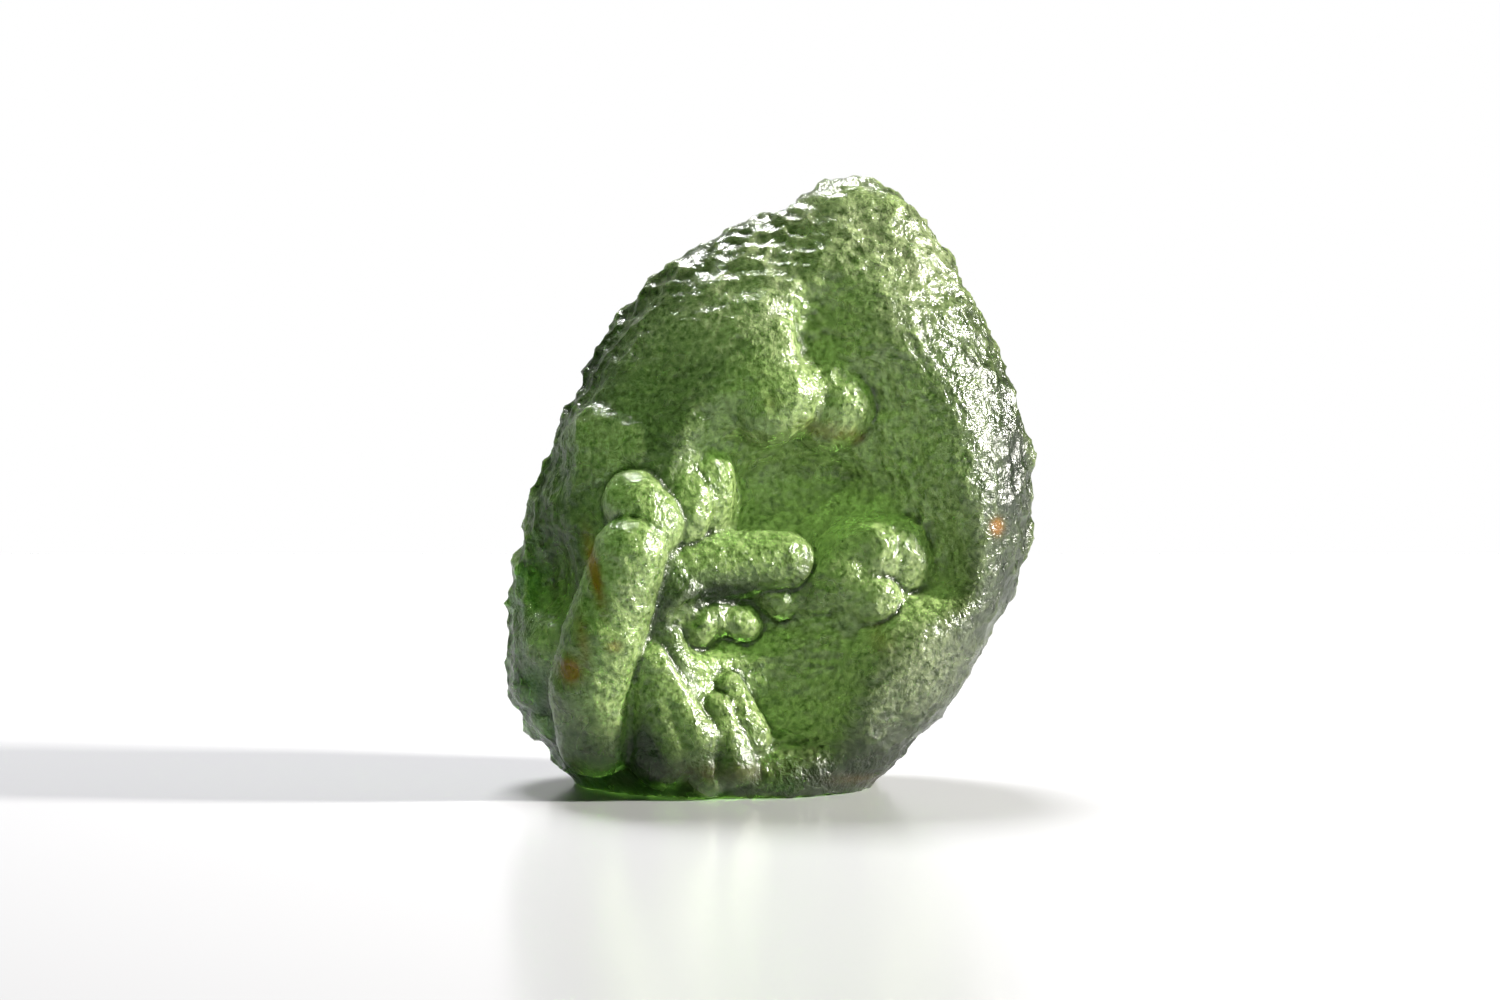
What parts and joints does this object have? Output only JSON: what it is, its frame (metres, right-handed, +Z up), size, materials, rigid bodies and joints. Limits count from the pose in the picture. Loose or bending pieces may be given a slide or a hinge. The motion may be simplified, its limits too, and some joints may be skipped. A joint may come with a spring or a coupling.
{
  "type": "moldavite",
  "caption": "Lump of natural green glass, a flattened egg with an etched hollow of lobes and folds in its front; stands on a small flat foot.",
  "frame": {"origin": "on the surface that the stone stands on, under the middle of its bounding box", "axes": "+Z up; the etched hollow faces -Y; +X to the right of a viewer who faces the hollow"},
  "size_m": [0.0188, 0.0126, 0.0217],
  "materials": {
    "natural_glass": "etched all over, softly glossy, bottle green with a grey-green rim"
  },
  "bodies": {
    "root": {"moldavite": "natural_glass"}
  },
  "joints": []
}
